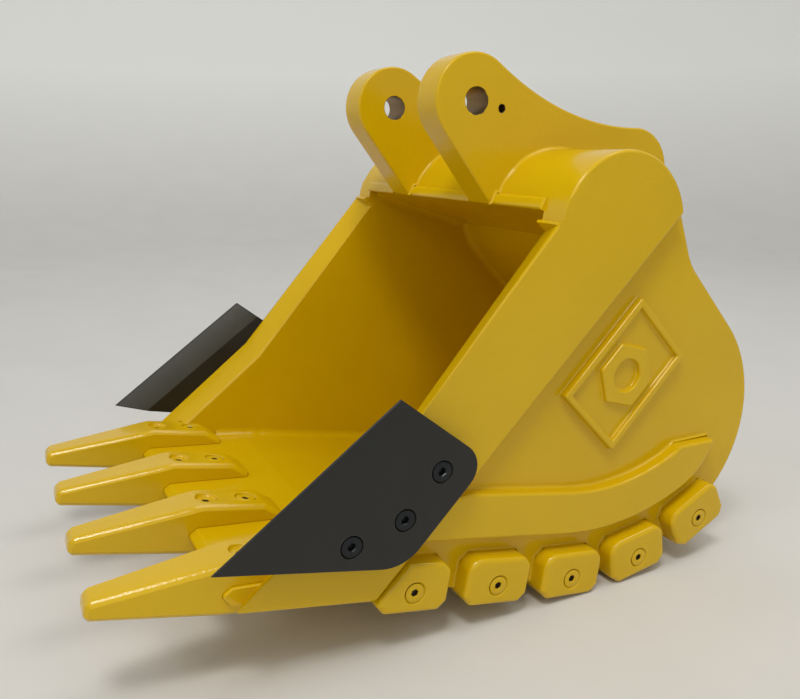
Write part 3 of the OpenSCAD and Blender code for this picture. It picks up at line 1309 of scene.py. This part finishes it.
HEAD, SCREWS = screw_head(), screw_tree()
print("screw head", len(HEAD.data.polygons), "faces; tree", len(SCREWS.nodes), "nodes")

# %% [markdown]
# ## Where the screws sit
#
# Each screw's solid is a separate island of its node's mesh. The face of its head is
# the flat ring furthest out along the direction it faces, so the seat is found
# from the island itself: the middle of its highest points. The teeth's screws are
# sunk below their flaps, the front ones deepest.


# %% Seats and screws
RIM_DEPTH = 0.02 * MM  # points this little below the highest one are on the head's face
FLUSH_MM = 0.15  # how far below its seat's edge a head sits
REAR_TOOTH_SINK_MM, FRONT_TOOTH_SINK_MM = 0.35, 1.1


def seats(node, facing, sink_mm, front_sink_mm):
    points = []
    screws = merged_copy(node)
    for island in islands(screws):
        top = max(p.dot(facing) for p in island)
        points.append(box_middle([p for p in island if p.dot(facing) > top - RIM_DEPTH]))
    screws.free()
    halfway = sum(p.y for p in points) / len(points)
    points = [p - facing * (front_sink_mm if p.y < halfway else sink_mm) * MM for p in points]
    points.sort(key=lambda p: tuple(round(c, 5) for c in p))
    mesh = bpy.data.meshes.new(node + "_seats")
    mesh.from_pydata([tuple(p) for p in points], [], [])
    layer = mesh.attributes.new("facing", "FLOAT_VECTOR", "POINT")
    layer.data.foreach_set("vector", [c for _ in points for c in facing])
    return mesh


def set_screws(
    node, name, slot, facing, finish, socket, seed, sink_mm=FLUSH_MM, front_sink_mm=FLUSH_MM
):
    made = run_tree(
        name,
        SCREWS,
        seats(node, facing, sink_mm, front_sink_mm),
        {"Head": HEAD, "Seed": seed, "Screw finish": finish, "Socket dust and shade": socket},
    )
    drop_attributes(made, ["recess"])
    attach(made, "root")
    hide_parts(node)
    print(name, len(made.data.polygons), "faces")


FLAP_SLOPE = math.radians(11)  # the slope of the floor, lip and tooth flaps
flap_up = Vector((0, math.sin(FLAP_SLOPE), math.cos(FLAP_SLOPE)))
painted, oxide = (yellow_enamel, socket_dust_and_shade), (black_oxide, black_oxide)
set_screws(
    "tooth_screws",
    "tooth_screw_heads",
    "painted_screws",
    flap_up,
    *painted,
    3,
    REAR_TOOTH_SINK_MM,
    FRONT_TOOTH_SINK_MM,
)
for side, sign in (("right", 1), ("left", -1)):
    out = Vector((sign, 0, 0))
    for kind, slot, finishes, seed in (
        ("cutter_screw", "black_screws", oxide, 5),
        ("shroud_screw", "painted_screws", painted, 8),
    ):
        set_screws(f"{kind}s_{side}", f"{kind}_heads_{side}", slot, out, *finishes, seed)

# %% [markdown]
# ## Floor and backdrop
#
# The bucket stands on a sheet of pale paper that runs back and curves up into a
# wall all round, far enough away to stay out of the views from behind. It is one
# turned profile: flat, then a wide curve, then straight up.

# %% Pale paper
FIBRE_MM = 60  # size of the paper's cloudy patches
WALL_FOOT = 0.15  # metres: the paper is palest above this height

paper, tree, surface, place = new_material("matt_paper")
fibre = add(
    tree, "ShaderNodeTexNoise", {}, {"Vector": place, "Scale": per_metre(FIBRE_MM), "Detail": 6.0}
)
tone = add(
    tree,
    "ShaderNodeMix",
    {"data_type": "RGBA"},
    {0: fibre.outputs["Fac"], 6: linear("#CFCDC8"), 7: linear("#D8D6D2")},
)
# Painted light: the paper is painted paler up the wall than on the floor, to make up for the wall
# getting less lamp light than the floor.
height = add(tree, "ShaderNodeSeparateXYZ", {}, {0: place}).outputs["Z"]
upright = add(
    tree,
    "ShaderNodeMapRange",
    {},
    {"Value": height, "From Min": -WALL_FOOT, "From Max": WALL_FOOT},
)
tone_with_painted_wall_light = add(
    tree,
    "ShaderNodeMix",
    {"data_type": "RGBA"},
    {0: upright.outputs["Result"], 6: tone.outputs[2], 7: linear("#F4F4F1")},
)
tree.links.new(tone_with_painted_wall_light.outputs[2], surface.inputs["Base Color"])
surface.inputs["Roughness"].default_value = 0.85
print("made", paper.name)

# %% Paper sweep
SWEEP_RADIUS, SWEEP_CURVE, SWEEP_TOP = 1.7, 0.6, 1.1
SWEEP_STEPS, SWEEP_SIDES = 12, 64
floor_z = cad_low.z
profile = [(0.0, 0.0), (0.5, 0.0)]
for i in range(SWEEP_STEPS + 1):
    angle = math.pi / 2 * i / SWEEP_STEPS
    reach = SWEEP_RADIUS - SWEEP_CURVE + SWEEP_CURVE * math.sin(angle)
    profile.append((reach, SWEEP_CURVE * (1 - math.cos(angle))))
profile.append((SWEEP_RADIUS, SWEEP_TOP))
shape = bmesh.new()
verts = [shape.verts.new((r, 0, z + floor_z)) for r, z in profile]
edges = [shape.edges.new(pair) for pair in zip(verts, verts[1:])]
bmesh.ops.spin(
    shape,
    geom=verts + edges,
    axis=(0, 0, 1),
    cent=(0, 0, 0),
    angle=2 * math.pi,
    steps=SWEEP_SIDES,
    use_duplicate=False,
)
bmesh.ops.remove_doubles(shape, verts=shape.verts, dist=0.1 * MM)
bmesh.ops.recalc_face_normals(shape, faces=shape.faces)
for face in shape.faces:
    face.smooth = True
mesh = bpy.data.meshes.new("paper_sweep")
shape.to_mesh(mesh)
shape.free()
mesh.materials.append(paper)
sweep = in_scene("paper_sweep", mesh)
print("sweep", len(mesh.polygons), "faces")

# %% [markdown]
# ## Light
#
# The light is broad and soft. The main panel hangs above and in front of the bucket,
# with a small window in front of the teeth, a wide ceiling panel behind, a weak one
# on the viewer's side and one that lights the wall. The room around them glows, and
# glows more from above and behind than from in front.


# %% Lights
BUCKET_MIDDLE = (0, 0, -0.1)


def panel(name, place, size, power, colour="#FFFFFF", aim=BUCKET_MIDDLE):
    """A soft light. place, size and aim are in metres and power is in watts."""
    light = in_scene(name, bpy.data.lights.new(name, "AREA"))
    light.data.shape = "RECTANGLE"
    light.data.size, light.data.size_y = size
    light.data.energy = power
    light.data.color = linear(colour)[:3]
    light.location = place
    light.rotation_euler = (Vector(aim) - Vector(place)).to_track_quat("-Z", "Y").to_euler()
    print(name, power, "W")


panel("front_ceiling", (0.45, -0.34, 0.85), (0.3, 0.22), 4.3, "#FFFDF8")
panel("front_window", (0.3, -0.85, 0.6), (0.25, 0.2), 0.9)
panel("ceiling", (0.2, 0.4, 1.0), (0.5, 0.5), 2.6, "#FFFDF8")
panel("viewer_side", (1.15, -0.25, 0.4), (0.8, 0.7), 0.9, "#FFFBF4")
panel("wall_wash", (-0.6, 0.1, 1.0), (0.6, 0.6), 2.1, aim=(-1.6, 0.9, 0.1))

# %% Glow of the room
BRIGHT_SIDE = (0.2, 0.55, 0.6)  # the room is brighter above and behind than in front
DIM, BRIGHT = 0.25, 0.6

world = bpy.data.worlds.new("room")
bpy.context.scene.world = world
world.use_nodes = True
glow = world.node_tree.nodes["Background"]
glow.inputs["Color"].default_value = linear("#F4F6F8")
direction = add(world.node_tree, "ShaderNodeTexCoord").outputs["Generated"]
share = add(
    world.node_tree,
    "ShaderNodeVectorMath",
    {"operation": "DOT_PRODUCT"},
    {0: direction, 1: BRIGHT_SIDE},
)
room = add(
    world.node_tree,
    "ShaderNodeMapRange",
    {},
    {
        "Value": share.outputs["Value"],
        "From Min": -0.7,
        "From Max": 0.7,
        "To Min": DIM,
        "To Max": BRIGHT,
    },
)
world.node_tree.links.new(room.outputs["Result"], glow.inputs["Strength"])
print("the room glows from", DIM, "to", BRIGHT)
